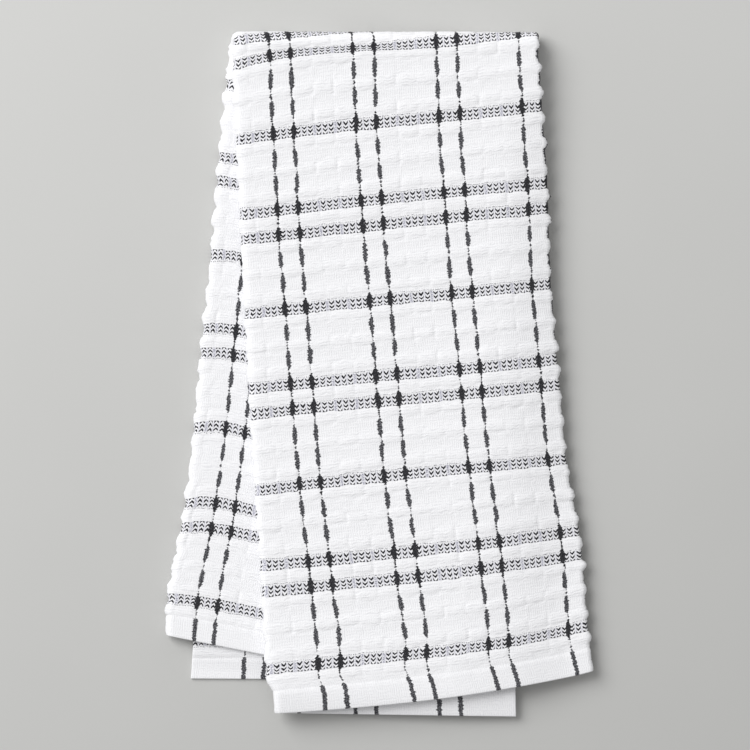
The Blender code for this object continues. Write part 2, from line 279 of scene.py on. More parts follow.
# Grid lines of the mesh: shares of a row's pitch and of a module, and spacings
FRONT_ROW_SHARES = (0.0, 0.14, 0.24, 0.29, 0.37, 0.45, 0.53, 0.61, 0.70, 0.77, 0.87)
BACK_ROW_SHARES = (0.0, 0.15, 0.26, 0.36, 0.51, 0.66, 0.76, 0.87)
REVERSE_ROW_SHARES = (0.0, 0.26, 0.51, 0.76)
FINE_MODULE_SHARES = (0.0, 0.06, 0.16, 0.33, 0.5, 0.67, 0.84, 0.94)
HEM_LINES = (0.0, 0.0002, 0.0005, 0.0009, 0.0025, 0.0050, 0.0080, 0.0105, 0.0122, 0.0130, 0.0138, 0.0155)
SELVEDGE_LINES = (0.0, 0.0002, 0.0005, 0.0009, 0.0030)
COARSE_SPACING = 0.009
TURN_SPACING = 0.0011
TURN_FROM = 0.338
TURN_TO = 0.3865
STRIP_WIDTH = 0.062
FOLD_MARGIN = 0.006
FOLD_HALF_LENGTH = 0.0024
FOLD_COLUMNS = 9
LEAST_STEP = 0.0004
FRONT_FINE_FROM = 0.128
REVERSE_FINE_FROM = 0.132
LEFT_FOLD_FINE_TO = 0.154
ROUNDING = 1e-6

# The pattern of the woven cloth, in millimetres of flat cloth. A pair of numbers named for an edge, or for
# clouds, holds the two values between which a mask goes softly from 0 to 1.
MILLIMETRES = 1000.0
FIRST_STRIPE_MM = MILLIMETRES * FIRST_STRIPE
MODULE_MM = MILLIMETRES * MODULE
REPEAT_MM = 4 * MODULE_MM
FIRST_ROW_MM = MILLIMETRES * FIRST_ROW
ROW_PITCH_MM = MILLIMETRES * ROW_PITCH
LENGTH_MM = MILLIMETRES * CLOTH_LENGTH
HEM_START_MM = 0.5 * LENGTH_MM - MILLIMETRES * HEM_DEPTH
HEM_EDGE = (HEM_START_MM - 0.6, HEM_START_MM + 0.1)

# Rows are counted from 0 at the front hem to the last one at the back hem. Of each seven the first carries a
# single weft band, the fourth and fifth carry a pair, whose middle lies between them, and the rest dashes.
LAST_ROW = 49
ROWS_IN_CHECK = 7.0
SINGLE_BAND = 0.0
BAND_PAIR = 3.5
ROW_MATCH = 0.3
PAIR_MATCH = 0.7

# How often in a millimetre the yarns wander, and how far across and along
WANDERS_PER_MM = 0.22
WANDER_SIZE = (0.8, 1.3, 0.0)

# Dark warp stripes: dashes, crossings with the bands, the thin broken line that joins them, whose half width
# follows a noise between two values, and whole stripes in the hems
DASH_HALF_WIDTH = 1.28
DASH_SHORTEST = 4.4
DASH_LONGEST = 5.7
DASH_SHIFT = 1.0
DASH_TAPER = 3.5
CROSSING_HALF_LENGTH = 5.2
CROSSING_HALF_WIDTH = 1.55
CROSSING_TAPER = 2.4
THIN_BREAKS = (0.15, 0.8, 0.0)
THIN_NOISE = (0.3, 0.6)
THIN_HALF_WIDTHS = (0.05, 0.55)
HEM_STRIPE_HALF_WIDTH = 1.25
STRIPE_PICKS = (0.35, 1.0, 0.0)
STRIPE_ROUGHNESS = (-1.15, 1.1)
STRIPE_EDGE = (-0.12, 0.18)
ROUGH_PER_MM = 1.1

# Weft bands: chevrons in groups of three, with white yarn in their cups, on a tinted and speckled ground, and
# a dotted line above them
CHEVRON_STEP = 3.4
CHEVRON_ROW = 2.2
CHEVRON_SLOPE = 0.98
CHEVRON_STROKE = 0.56
CHEVRON_CUP = 0.3
CHEVRON_TIP = 0.45
ARM_EDGE = (1.35, 1.1)
CUP_SIDES = (1.2, 0.9)
CUP_EDGE = (-0.45, -0.1)
BAND_TOP = 2.2
BAND_FOOT = -3.45
BAND_BLUR = 0.15
STROKE_EDGE = (CHEVRON_STROKE + BAND_BLUR, CHEVRON_STROKE - BAND_BLUR)
GROUP_EDGE = (1.5 * CHEVRON_STEP + BAND_BLUR, 1.5 * CHEVRON_STEP - BAND_BLUR)
TOP_EDGE = (BAND_TOP + BAND_BLUR, BAND_TOP - BAND_BLUR)
FOOT_EDGE = (BAND_FOOT - BAND_BLUR, BAND_FOOT + BAND_BLUR)
BAND_ROUGHNESS = 0.22
BAND_DOTS = 2.75
DOT_HALF_WIDTH = 0.22
DOT_STRENGTH = 0.85
DOT_EDGE = (0.46, 0.56)
SPECKS_PER_MM = 1.7
SPECK_STRENGTH = 0.3
TINT_CLOUDS = (0.25, 0.6)
TINT_STRENGTH = 0.95
TINT_IN_GROUP = 0.5

# Yarns: weft cords and warp ribs, their bends, the patches where cords show, and the grain all over. Single
# yarns of such cloth are about half a millimetre wide, too fine to show, so cords of two or three are drawn.
CORD_STEP = 1.7
RIB_STEP = 1.2
BENDS_PER_MM = 0.3
YARN_BEND = 4.0
CORD_PATCHES = (0.22, 0.5, 0.0)
PATCH_EDGE = (0.36, 0.66)
RIB_STRENGTHS = (0.7, 0.2)
WEFT_SHARES = (0.35, 0.72)
GRAIN_PER_MM = 1.9
GRAIN_SHARE = 0.45
# the yarn heights over which the white goes from painted shade in the grooves between yarns to full white
GROOVE_SHADE_EDGE = (0.3, 0.55)
MOTTLE_EDGE = (0.45, 0.62)
CROSSING_DARKNESS = 0.75
YARN_BUMP = {"Strength": 0.6, "Distance": 0.0005}

# Colours of the yarns and of the board under the towel, with painted shade in the yarns' grooves and painted
# light on the board
TOP_WHITE = "#f4f4f6"
# painted shade: the white darkened where the yarns dip into grooves, not a yarn colour of its own
GROOVE_SHADE_WHITE = "#e8e8eb"
BAND_GROUND = "#b4b4c4"
BAND_SPECKS = "#4f4f58"
CHEVRON_BLACK = "#1b1b20"
DASH_BLACK = "#242427"
DASH_GREY = "#7b7b80"
CROSSING_BLACK = "#1c1c20"
# the two ends of the board's painted falloff, painted shade and painted light, which its random clouds also
# span
BOARD_SHADE_AND_CLOUD_GREY = "#b8b8b6"
BOARD_LIT_AND_CLOUD_GREY = "#d0d0ce"

# How the surfaces take the light
COTTON = {"Roughness": 0.95, "Specular IOR Level": 0.25, "Sheen Weight": 0.03, "Sheen Roughness": 0.5}
PAINT = {"Roughness": 0.9, "Specular IOR Level": 0.2}

# Painted light on the board: its tone fades from painted light to painted shade this far to both sides of its
# middle, lighter in this direction, towards the soft box at the upper left, and it has faint random clouds
BOARD_PAINTED_FALLOFF = 0.28
BOARD_PAINTED_LIGHT_DIRECTION = (-0.50, 0.87, 0.0)
CLOUDS_PER_M = 9.0
BOARD_CLOUDS = 0.08

# The stage
FLOOR_WIDTH = 3.0
VIEW_CENTRE = (-0.0022, -0.0005)
VIEW_WIDTH = 0.405
VIEW_LEVEL = 0.012
LENS = 300.0
SENSOR = 36.0
KEY_PLACE = Vector((-4.68, 3.64, 5.44))
KEY_SIZE = 5.6
KEY_POWER = 600.0
ROOM_TONE = "#f4f4f4"
ROOM_STRENGTH = 0.52

MATH = "ShaderNodeMath"
VECTOR = "ShaderNodeVectorMath"
MAP = "ShaderNodeMapRange"
MIX = "ShaderNodeMix"
MIX_COLOUR = "ShaderNodeMixRGB"
NOISE = "ShaderNodeTexNoise"
RANDOM = "ShaderNodeTexWhiteNoise"
SMOOTH = {"interpolation_type": "SMOOTHSTEP"}
IN_PLANE = {"noise_dimensions": "2D"}


def smooth_step(x):
    """0 below 0, 1 above 1, and a soft S between them: three times x squared less twice x cubed."""
    x = np.clip(x, 0.0, 1.0)
    return x * x * (3.0 - 2.0 * x)


def hat(x, start, peak, end):
    """Rises in a straight line from 0 at start to 1 at peak, and falls to 0 at end."""
    return np.clip(np.minimum((x - start) / (peak - start), (end - x) / (end - peak)), 0.0, 1.0)


def curve_through(table, column, x):
    """The table's column at x, on a cubic curve through all its rows."""
    rows = np.array(table)
    knots = rows[:, 0]
    values = rows[:, column]
    slopes = np.gradient(values, knots)
    i = np.clip(np.searchsorted(knots, x) - 1, 0, len(knots) - 2)
    gap = knots[i + 1] - knots[i]
    t = (x - knots[i]) / gap
    start = (1 + 2 * t) * (1 - t) ** 2 * values[i] + t * (1 - t) ** 2 * gap * slopes[i]
    end = t * t * (3 - 2 * t) * values[i + 1] - t * t * (1 - t) * gap * slopes[i + 1]
    return start + end


def edge_place(runs, edge, share):
    """Plan place on one long edge's run, at a share of the cloth length that the run takes."""
    table = runs[edge]
    along = table[0][0] + share * (table[-1][0] - table[0][0])
    x = curve_through(table, 1, along)
    y = curve_through(table, 2, along)
    if edge == "left_fold":
        x = x + 0.5 * THICKNESS
    if edge == "right_fold":
        x = x - 0.5 * THICKNESS
    return x, y


def fold_profile(offset, radius):
    """Distance in from a fold's outermost line, the radius times one less the cosine, and height across it,
    the radius times the sine, for cloth bent round a half circle and straight past it."""
    half_length = 0.5 * np.pi * radius
    angle = np.clip(offset, -half_length, half_length) / radius
    inward = radius * (1 - np.cos(angle)) + np.maximum(np.abs(offset) - half_length, 0.0)
    return inward, radius * np.sin(angle)


def row_wave(along):
    """1 on each row of puffs and a notch of -1 on each dashed row between them, as arches of a sine without
    its sign to the power NOTCH_CURVE, and 0 in both hems."""
    woven = (along > HEM_DEPTH) & (along < CLOTH_LENGTH - HEM_DEPTH)
    arches = np.abs(np.sin(np.pi * (along - FIRST_ROW) / ROW_PITCH))
    return np.where(woven, 2 * arches**NOTCH_CURVE - 1, 0.0)


def uneven_bulge(wave, along, seed):
    """Sideways bulge of the cloth at a fold, as a share of its even size: half of a wave over the rows, times
    each row's own random share, and the raggedness of the yarns, random points joined by lines, which grows
    with the wave."""
    chances = np.random.default_rng(seed)
    rows = (along - FIRST_ROW) / ROW_PITCH - 0.5
    sizes = np.interp(rows, np.arange(CELL_COUNT) - CELLS_BEFORE, chances.uniform(*ROW_BULGES, CELL_COUNT))
    yarns = np.interp(along / YARN_SPACING, np.arange(YARN_POINTS), chances.uniform(-1.0, 1.0, YARN_POINTS))
    return 0.5 * wave * sizes + RAGGEDNESS * yarns * (RAGGED_EVENLY + RAGGED_ON_PUFFS * wave)


def puff_bumps(along):
    """BUMP_TOP on the middle of each row of puffs and BUMP_FOOT on all of each dashed row and the hems, in
    short blunt bumps: a half sine to the power BLUNTNESS."""
    rows = (along - FIRST_ROW) / ROW_PITCH
    rise = np.clip((rows - np.floor(rows) - PUFF_FROM) / (PUFF_TO - PUFF_FROM), 0.0, 1.0)
    bumps = np.sin(np.pi * rise) ** BLUNTNESS * in_weave(along)
    return BUMP_FOOT + (BUMP_TOP - BUMP_FOOT) * bumps


def panel_places(near, far, share, along):
    """Plan place, share of the top turn and share of the front run on the panel between two long edges: a
    straight mix of the two edges' places, at a share of the way from near to far."""
    turn_from = FRONT_RUNS[near][-1][0] * (1 - share) + FRONT_RUNS[far][-1][0] * share
    turn_to = BACK_RUNS[near][0][0] * (1 - share) + BACK_RUNS[far][0][0] * share
    front = np.clip(along / turn_from, 0.0, 1.0)
    back = np.clip((along - turn_to) / (CLOTH_LENGTH - turn_to), 0.0, 1.0)
    turned = np.clip((along - turn_from) / (turn_to - turn_from), 0.0, 1.0)
    places = []
    for runs, run_share in ((FRONT_RUNS, front), (BACK_RUNS, back)):
        near_x, near_y = edge_place(runs, near, run_share)
        far_x, far_y = edge_place(runs, far, run_share)
        places.append((near_x * (1 - share) + far_x * share, near_y * (1 - share) + far_y * share))
    over = smooth_step(turned)
    x = places[0][0] * (1 - over) + places[1][0] * over
    y = places[0][1] * (1 - over) + places[1][1] * over
    return x, y, turned, front


def right_of(x, y, run):
    """Distance of a plan place to the right of the straight line along one run of a long edge."""
    x0, y0 = run[0][1:]
    x1, y1 = run[-1][1:]
    turned = (y1 - y0) * (x - x0) - (x1 - x0) * (y - y0)
    return turned / np.hypot(x1 - x0, y1 - y0) * np.sign(y1 - y0)


def below_hem(x, y, left_edge, right_edge):
    """Distance of a plan place past the back hem that joins two long edges."""
    x0, y0 = BACK_RUNS[left_edge][-1][1:]
    x1, y1 = BACK_RUNS[right_edge][-1][1:]
    return y0 + (x - x0) * (y1 - y0) / (x1 - x0) - y


def front_sink(x, y, above_inner):
    """How far a front layer lies below its full height, where the layers under it have ended: soft steps
    down past the back's right fold, its hem and the inner panel's selvedge."""
    past_fold = right_of(x, y, BACK_RUNS["right_fold"])
    past_hem = below_hem(x, y, "middle_selvedge", "right_fold")
    past_inner = right_of(x, y, FRONT_RUNS["inner_selvedge"])
    held_at_fold = 1.0 - FOLD_SINK * smooth_step((past_fold - FOLD_SLOPE_START) / FOLD_SLOPE_WIDTH)
    held_at_hem = 1.0 - smooth_step((past_hem - HEM_SLOPE_START) / HEM_SLOPE_WIDTH)
    depth = LAYERS_BEHIND * LAYER_PITCH * (1.0 - held_at_fold * held_at_hem)
    depth = depth + above_inner * LAYER_PITCH * smooth_step(past_inner / INNER_EDGE_SLOPE)
    turn_y = FRONT_RUNS["left_fold"][-1][2]
    return depth * smooth_step((turn_y - y) / TURN_FADE)


def corner_sink(x, y):
    """How far the back corner of the middle panel lies below its layer: a soft step past the hem of the panel
    under it."""
    past = below_hem(x, y, "left_fold", "right_fold")
    return LAYER_PITCH * smooth_step(past / CORNER_SLOPE)


def front_stray(share, along):
    """How far the front panel's threads stray to the right and towards the turn: two soft bumps, one highest
    a third and one two thirds of the way across, each the share across times its rest, with the rest squared
    in the first bump and the share in the second."""
    near = STRAY_PEAK * share * (1.0 - share) ** 2
    far = STRAY_PEAK * share**2 * (1.0 - share)
    right = near * curve_through(FRONT_STRAY, 1, along) + far * curve_through(FRONT_STRAY, 2, along)
    up = near * curve_through(FRONT_STRAY, 3, along) + far * curve_through(FRONT_STRAY, 4, along)
    return right, up


def back_stray(from_fold, along):
    """How far the threads of the strip behind stray to the right and towards the turn: one bump, the depth in
    from the fold times a falling exponential."""
    depth = from_fold / BACK_STRAY_REACH
    bump = depth * np.exp(1.0 - depth)
    return bump * curve_through(BACK_STRAY, 1, along), bump * curve_through(BACK_STRAY, 2, along)


def rolled(across, along):
    """The cloth is pulled round its right fold a little, so that the stripe there lies just behind the fold,
    and less so towards the top, where the stripe's edge shows: a bell-shaped shift round that stripe."""
    upper = smooth_step((along - FOLD_ROLL_FROM) / (FOLD_ROLL_TO - FOLD_ROLL_FROM))
    roll = FOLD_ROLL + (FOLD_ROLL_TOP - FOLD_ROLL) * upper
    return across + roll * np.exp(-(((across - RIGHT_FOLD_ACROSS) / FOLD_ROLL_WIDTH) ** 2))


def folded_place(across, along):
    """Place in space of each point of the flat cloth: a mix of its panel's two edges in plan, half circles at
    the long folds and the top turn, and soft steps where layers end. Gives the middle surface as x, y, z, and
    the share of the top turn, 0 on the front and 1 on the back."""
    left_across = curve_through(LEFT_FOLD_ACROSS, 1, along)
    left_in, left_height = fold_profile(across - left_across, LEFT_FOLD_RADIUS)
    right_in, right_height = fold_profile(across - RIGHT_FOLD_ACROSS, RIGHT_FOLD_RADIUS)
    in_inner = across < left_across
    in_middle = across > RIGHT_FOLD_ACROSS
    in_outer = ~(in_inner | in_middle)

    inner_width, _ = fold_profile(-left_across, LEFT_FOLD_RADIUS)
    middle_width, _ = fold_profile(CLOTH_WIDTH - RIGHT_FOLD_ACROSS, RIGHT_FOLD_RADIUS)
    outer_share = np.clip(left_in / (left_in + right_in), 0.0, 1.0)
    inner_share = np.clip(left_in / inner_width, 0.0, 1.0)
    middle_share = np.clip(right_in / middle_width, 0.0, 1.0)
    free_share = 1.0 - inner_share
    slack_share = 1.0 - (1 + INNER_SLACK) * free_share + INNER_SLACK * free_share**INNER_SLACK_CURVE
    inner_front_share = np.where(along < 0.5 * CLOTH_LENGTH, slack_share, inner_share)

    panels = (
        (in_inner, "left_fold", "inner_selvedge", inner_front_share),
        (in_outer, "left_fold", "right_fold", outer_share),
        (in_middle, "right_fold", "middle_selvedge", middle_share),
    )
    x = np.zeros_like(across)
    y = np.zeros_like(across)
    turned = np.zeros_like(across)
    front = np.zeros_like(across)
    for inside, near, far, share in panels:
        found = panel_places(near, far, share, along)
        for values, part in zip((x, y, turned, front), found):
            values[inside] = part[inside]

    on_front = 1.0 - smooth_step(turned)
    front_right, front_up = front_stray(outer_share, front * FRONT_STRAY[-1][0])
    back_right, back_up = back_stray(left_in, np.maximum(along, BACK_STRAY[0][0]))
    x = x + front_right * in_outer * on_front + back_right * in_inner * (1.0 - on_front)
    y = y + front_up * in_outer * on_front + back_up * in_inner * (1.0 - on_front)

    near_left = across < 0.5 * (left_across + RIGHT_FOLD_ACROSS)
    level_left = 0.5 * (LEVEL_INNER + LEVEL_OUTER) + left_height
    level_right = 0.5 * (LEVEL_MIDDLE + LEVEL_OUTER) - right_height
    level = np.where(near_left, level_left, level_right)

    wave = row_wave(along)
    clear = smooth_step(left_in / RIB_START) * smooth_step(right_in / RIB_START)
    level = level + np.where(in_outer, 0.5 * ROW_RIB * (1 + wave) * clear * on_front, 0.0)

    halfway = 4 * turned * (1.0 - turned)
    still = 1.0 - smooth_step(2 * halfway)
    left_size = LEFT_SCALLOP * on_front + BACK_LEFT_SCALLOP * (1.0 - on_front)
    left_bulge = left_size * uneven_bulge(wave, along, LEFT_BULGE_SEED) * still
    right_bulge = RIGHT_SCALLOP * uneven_bulge(puff_bumps(along), along, RIGHT_BULGE_SEED) * still
    x = x - left_bulge * np.exp(-left_in / SCALLOP_REACH) * near_left
    x = x + right_bulge * np.exp(-right_in / SCALLOP_REACH) * ~near_left
    lean = smooth_step((outer_share - HEM_LEAN_FROM) / HEM_LEAN_WIDTH) * (1.0 - outer_share**HEM_LEAN_END)
    x = x + np.where(in_outer, HEM_LEAN * lean * smooth_step(1.0 - along / HEM_LEAN_DEPTH), 0.0)

    y = y + level * np.sin(np.pi * turned)
    z = TURN_AXIS_Z + level * np.cos(np.pi * turned)
    above_inner = np.clip((level - LEVEL_INNER) / LAYER_PITCH, 0.0, 1.0)
    z = z - front_sink(x, y, above_inner) * on_front
    z = z - corner_sink(x, y) * (in_middle & (turned == 1.0))
    return np.stack((x + PLAN_SHIFT[0], y + PLAN_SHIFT[1], z), axis=-1), turned


def weave_cells(across, along):
    """Which row and module of the weave each place is in, as whole numbers, and its shares of the row's pitch
    and of the module's width."""
    rows = (along - FIRST_ROW) / ROW_PITCH
    modules = (across - FIRST_STRIPE) / MODULE
    row = np.floor(rows + ROUNDING)
    module = np.floor(modules + ROUNDING)
    return row.astype(int), module.astype(int), rows - row, modules - module


def in_weave(along):
    """1 in the puffy weave and 0 in the hems, with a soft edge just inside the stitch lines."""
    inside = np.minimum(along - HEM_DEPTH, CLOTH_LENGTH - HEM_DEPTH - along)
    return smooth_step(inside / WEAVE_EDGE)


def by_chance(what, row, module):
    """Each puff's own random number of one kind, spread evenly from the kind's lowest to its highest. It is
    found by the puff's row and module, which start a few below 0."""
    seed, low, high = PUFF_CHANCES[what]
    table = np.random.default_rng(seed).uniform(low, high, (CELL_COUNT, CELL_COUNT))
    return table[row + CELLS_BEFORE, module + CELLS_BEFORE]


def wandered(across, along):
    """The cloth's places with the threads round each puff moved a little: by up to CREASE_WANDER along at its
    lower and upper edge, and by up to SIDE_WANDER across at its sides, fading out in straight lines."""
    row, module, row_share, module_share = weave_cells(across, along)
    lower = by_chance("lower_wander", row, module) * hat(row_share, *LOWER_WANDER)
    upper = by_chance("upper_wander", row, module) * hat(row_share, *UPPER_WANDER)
    from_side = np.minimum(module_share, 1.0 - module_share)
    side_module = module + (module_share > 0.5)
    beside = hat(from_side, -SIDE_WANDER_REACH, 0.0, SIDE_WANDER_REACH)
    side = by_chance("side_wander", row, side_module) * beside * hat(row_share, *MIDDLE_WANDER)
    woven = in_weave(along)
    return across + SIDE_WANDER * side * woven, along + CREASE_WANDER * (lower + upper) * woven


def puff_zone(row_share):
    """1 in a row of puffs, 0 in a flat dashed row, with a soft edge at both creases."""
    past_lower = smooth_step((row_share - PUFF_FROM) / PUFF_EDGE + 0.5)
    short_of_upper = smooth_step((PUFF_TO - row_share) / PUFF_EDGE + 0.5)
    return past_lower * short_of_upper


def puffs_at(along):
    """1 in the rows of puffs, 0 in the flat dashed rows and in the hems."""
    rows = (along - FIRST_ROW) / ROW_PITCH
    return puff_zone(rows - np.floor(rows)) * in_weave(along)


def puckers(across, along):
    """Small ripples of the cloth on both sides of the stitches that hold the hems: random points joined by
    lines, fading out on a bell curve."""
    from_hem = np.minimum(along, CLOTH_LENGTH - along) - HEM_DEPTH
    heights = np.random.default_rng(PUCKER_SEED).uniform(-1.0, 1.0, PUCKER_POINTS)
    ripples = np.interp(across / PUCKER_SPACING, np.arange(PUCKER_POINTS), heights)
    return PUCKER_HEIGHT * ripples * np.exp(-((from_hem / PUCKER_REACH) ** 2))


def weave_relief(across, along):
    """Height of the weave over the flat dashed rows. Each puff is a half sine along, to the power BLUNTNESS,
    that falls towards its sides as a bell curve, and has its own height. Creases are bell-shaped troughs of
    their own depth at its sides and along its lower and upper edge, which bow outwards as parabolas and are
    shifted by chance. Hems stand up a little, behind a stitched and puckered trough."""
    row, module, row_share, module_share = weave_cells(across, along)
    from_side = np.minimum(module_share, 1.0 - module_share) * MODULE
    side_module = module + (module_share > 0.5)
    drawn_in = CREASE_BOW / ROW_PITCH * (1.0 - 4.0 * module_share * (1.0 - module_share))
    shift = CREASE_SHIFT / ROW_PITCH
    puff_from = PUFF_FROM + drawn_in + shift * by_chance("lower_shift", row, module)
    puff_to = PUFF_TO - drawn_in - shift * by_chance("upper_shift", row, module)
    rise = np.clip((row_share - puff_from) / (puff_to - puff_from), 0.0, 1.0)
    pillow = np.sin(np.pi * rise) ** BLUNTNESS
    beside = 1.0 - SIDE_FALL * np.exp(-((from_side / SIDE_FALL_WIDTH) ** 2))
    height = PUFF_HEIGHT * by_chance("puff_height", row, module) * pillow * beside
    lower_depth = by_chance("lower_crease", row, module) ** 2 + LEAST_LOWER_CREASE
    upper_depth = by_chance("upper_crease", row, module) ** 3
    side_depth = by_chance("side_crease", row, side_module) ** 2
    lower = np.exp(-(((row_share - puff_from) * ROW_PITCH / CREASE_WIDTH) ** 2))
    upper = np.exp(-(((row_share - puff_to) * ROW_PITCH / CREASE_WIDTH) ** 2))
    side = np.exp(-((from_side / SIDE_CREASE_WIDTH) ** 2)) * puff_zone(row_share)
    creases = CREASE_DEPTH * (lower_depth * lower + upper_depth * upper + side_depth * side)
    to_stitch = np.minimum(np.abs(along - HEM_DEPTH), np.abs(CLOTH_LENGTH - HEM_DEPTH - along))
    stitched = STITCH_DEPTH * np.exp(-((to_stitch / STITCH_WIDTH) ** 2))
    woven = in_weave(along)
    return (height - creases) * woven + HEM_RAISE * (1.0 - woven) - stitched + puckers(across, along)


def half_thickness(across, along):
    """Half the sheet's thickness, rounded off at its four edges as a quarter circle down to EDGE_SHARE."""
    inside_across = np.minimum(across, CLOTH_WIDTH - across)
    inside_along = np.minimum(along, CLOTH_LENGTH - along)
    inside = np.clip(np.minimum(inside_across, inside_along) / (0.5 * THICKNESS), 0.0, 1.0)
    return 0.5 * THICKNESS * (EDGE_SHARE + (1.0 - EDGE_SHARE) * np.sqrt(1.0 - (1.0 - inside) ** 2))


def surface_normals(places):
    """Unit normals of a grid of places, on the cloth's fair side: the step across, times the step along."""
    step_across = np.gradient(places, axis=1)
    step_along = np.gradient(places, axis=0)
    normals = np.cross(step_across, step_along)
    return normals / np.linalg.norm(normals, axis=-1, keepdims=True)


def fair_side(columns, rows):
    """The cloth's fair side on a grid of lines: the folded middle surface, moved out along its normal by half
    the thickness, the weave's relief and a fine random roughness. No point goes below the table."""
    flat_across, flat_along = np.meshgrid(columns, rows)
    across, along = wandered(flat_across, flat_along)
    across = rolled(across, along)
    places, turned = folded_place(across, along)
    left_across = curve_through(LEFT_FOLD_ACROSS, 1, along)
    outer = smooth_step((across - left_across) / FOLD_MARGIN + 1.0)
    outer = outer * smooth_step((RIGHT_FOLD_ACROSS - across) / FOLD_MARGIN + 1.0)
    strip = smooth_step((across - left_across + STRIP_WIDTH) / FOLD_MARGIN) * (turned >= 1.0)
    under = outer * smooth_step(2.0 * turned - 1.0)
    shown = np.maximum(outer, strip)
    relief = weave_relief(flat_across, flat_along)
    rough = np.random.default_rng(YARN_SEED + columns.size).uniform(-1.0, 1.0, flat_across.shape)
    relief = relief + YARN_ROUGHNESS * rough * in_weave(flat_along)
    relief = relief * (HIDDEN_RELIEF + (1.0 - HIDDEN_RELIEF) * shown)
    relief = relief - under * DRAWN_IN_UNDER
    half = half_thickness(across, along)
    places = places + surface_normals(places) * (half + relief)[..., None]
    places[..., 2] = np.maximum(places[..., 2], REST_LEVEL)
    return places, flat_across, flat_along, puffs_at(flat_along)


def reverse_side(columns, rows):
    """The cloth's reverse side on a grid of lines: the folded middle surface, moved the other way along its
    normal by half the thickness."""
    across, along = np.meshgrid(columns, rows)
    places, _ = folded_place(rolled(across, along), along)
    half = half_thickness(across, along)
    places = places - surface_normals(places) * half[..., None]
    places[..., 2] = np.maximum(places[..., 2], REST_LEVEL)
    return places, across, along, puffs_at(along)


def spaced(start, end, spacing):
    """Evenly spaced lines from start to end, both left out, about a spacing apart."""
    count = max(round((end - start) / spacing), 1)
    return np.linspace(start, end, count + 1)[1:-1]


def pitched(first, pitch, shares, start, end):
    """Lines at the given shares of each pitch counted from first, between start and end."""
    counts = np.arange(np.floor((start - first) / pitch), np.ceil((end - first) / pitch) + 1)
    lines = first + pitch * (counts[:, None] + np.array(shares)).ravel()
    return lines[(lines > start) & (lines < end)]


def columns_with(fine_from, fine_to):
    """Warp lines of a grid: fine ones in the shares of each module between two places, and coarse ones
    outside them, with close lines at the selvedges and round the right fold."""
    selvedge = np.array(SELVEDGE_LINES)
    fold_from = RIGHT_FOLD_ACROSS - FOLD_ROLL - FOLD_HALF_LENGTH
    fold_to = RIGHT_FOLD_ACROSS - FOLD_ROLL_TOP + FOLD_HALF_LENGTH
    fold = np.linspace(fold_from, fold_to, FOLD_COLUMNS)
    fine_end = min(fine_to, fold_from - LEAST_STEP)
    fine = pitched(FIRST_STRIPE, MODULE, FINE_MODULE_SHARES, fine_from, fine_end)
    before_fine = spaced(selvedge[-1], fine[0], COARSE_SPACING)
    before_fold = spaced(fine[-1], fold_from, COARSE_SPACING)
    past_fold = spaced(fold_to, CLOTH_WIDTH - selvedge[-1], COARSE_SPACING)
    far_selvedge = CLOTH_WIDTH - selvedge[::-1]
    return np.concatenate((selvedge, before_fine, fine, before_fold, fold, past_fold, far_selvedge))


def rows_with(shares, start, end):
    """Weft lines of a grid between start and end: close lines in a hem that it reaches, and elsewhere the
    given shares of each row's pitch."""
    hem = np.array(HEM_LINES)
    parts = []
    if start == 0.0:
        parts.append(hem)
    woven_from = max(start, hem[-1] + LEAST_STEP)
    woven_to = min(end, CLOTH_LENGTH - hem[-1] - LEAST_STEP)
    parts.append(pitched(FIRST_ROW, ROW_PITCH, shares, woven_from, woven_to))
    if end == CLOTH_LENGTH:
        parts.append(CLOTH_LENGTH - hem[::-1])
    return np.concatenate(parts)


class Sheet:
    """Gathers grids of points and the faces on and between them into one mesh."""

    def __init__(self):
        self.points = []
        self.coordinates = []
        self.puffs = []
        self.quads = []
        self.triangles = []
        self.count = 0

    def add_grid(self, surface, turned_over):
        """Adds a grid of points and its faces, and gives back the points' numbers as a grid."""
        places, across, along, puffs = surface
        rows, columns = across.shape
        ids = self.count + np.arange(rows * columns).reshape(rows, columns)
        self.count += rows * columns
        self.points.append(places.reshape(-1, 3))
        self.coordinates.append(np.stack((across, along), axis=-1).reshape(-1, 2))
        self.puffs.append(puffs.ravel())
        corners = [ids[:-1, :-1], ids[:-1, 1:], ids[1:, 1:], ids[1:, :-1]]
        if turned_over:
            corners = corners[::-1]
        self.quads.append(np.stack(corners, axis=-1).reshape(-1, 4))
        return ids

    def zip_lines(self, first, first_at, second, second_at):
        """Fills the gap between two lines of points, which may be unevenly split, with triangles. Walking
        both lines at once, each next point of either makes a triangle with the last points of both."""
        steps = np.concatenate((first_at[1:], second_at[1:]))
        order = np.argsort(steps, kind="stable")
        on_first = order < len(first) - 1
        first_now = np.cumsum(on_first)
        second_now = np.cumsum(~on_first)
        last_first = first[first_now - on_first]
        last_second = second[second_now - ~on_first]
        new = np.where(on_first, first[first_now], second[second_now])
        self.triangles.append(np.stack((last_first, new, last_second), axis=-1))

    def mesh(self, name):
        """The mesh of all the faces, with the flat cloth's coordinates in metres as its UV map."""
        quads = np.concatenate(self.quads)
        triangles = np.concatenate(self.triangles)
        coordinates = np.concatenate(self.coordinates)
        made = bpy.data.meshes.new(name)
        made.from_pydata(np.concatenate(self.points), [], quads.tolist() + triangles.tolist())
        made.shade_smooth()
        corners = np.zeros(len(made.loops), dtype=np.int32)
        made.loops.foreach_get("vertex_index", corners)
        flat = made.uv_layers.new(name="flat_cloth")
        flat.uv.foreach_set("vector", coordinates[corners].astype(np.float32).ravel())
        puff = made.attributes.new("puff", "FLOAT", "POINT")
        puff.data.foreach_set("value", np.concatenate(self.puffs).astype(np.float32))
        made.update()
        return made


